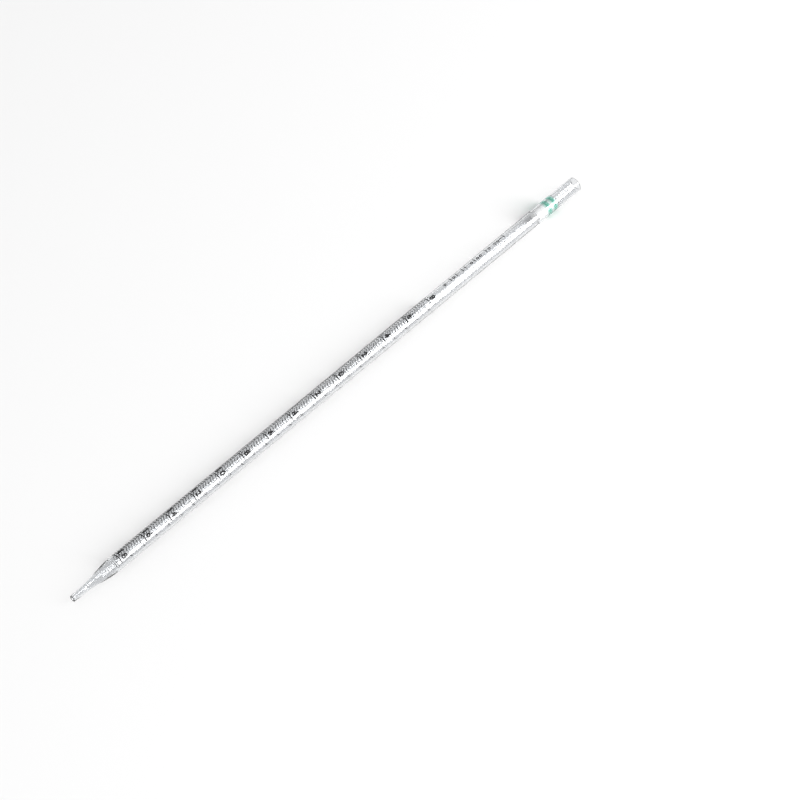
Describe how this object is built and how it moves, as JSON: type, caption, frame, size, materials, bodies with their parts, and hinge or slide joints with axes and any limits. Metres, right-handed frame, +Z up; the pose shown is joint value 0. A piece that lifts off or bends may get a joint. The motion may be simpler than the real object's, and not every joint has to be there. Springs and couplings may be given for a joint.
{
  "type": "graduated pipette",
  "caption": "Clear plastic measuring pipette: a straight graduated tube with a slender ogee tip, a plugged mouthpiece and a ring colour code.",
  "frame": {"origin": "middle of the pipette's length, on the plane it lies on, under its axis", "axes": "+X along the axis from the tip to the mouthpiece, +Z up"},
  "size_m": [0.275, 0.0064, 0.0063],
  "materials": {
    "clear_polystyrene": "clear, moulded and extruded, high gloss",
    "plug_fibre": "white non-woven fibre",
    "band_ink": "green printed ink",
    "print_ink": "black printed ink"
  },
  "bodies": {
    "root": {"tip": "clear_polystyrene", "barrel": "clear_polystyrene", "mouthpiece": "clear_polystyrene", "filter_plug": "plug_fibre", "colour_band_lower": "band_ink", "colour_band_upper": "band_ink", "minor_graduations": "print_ink", "half_graduations": "print_ink", "major_graduations": "print_ink", "scale_numerals": "print_ink", "reserve_numerals": "print_ink", "legend": "print_ink"}
  },
  "joints": []
}
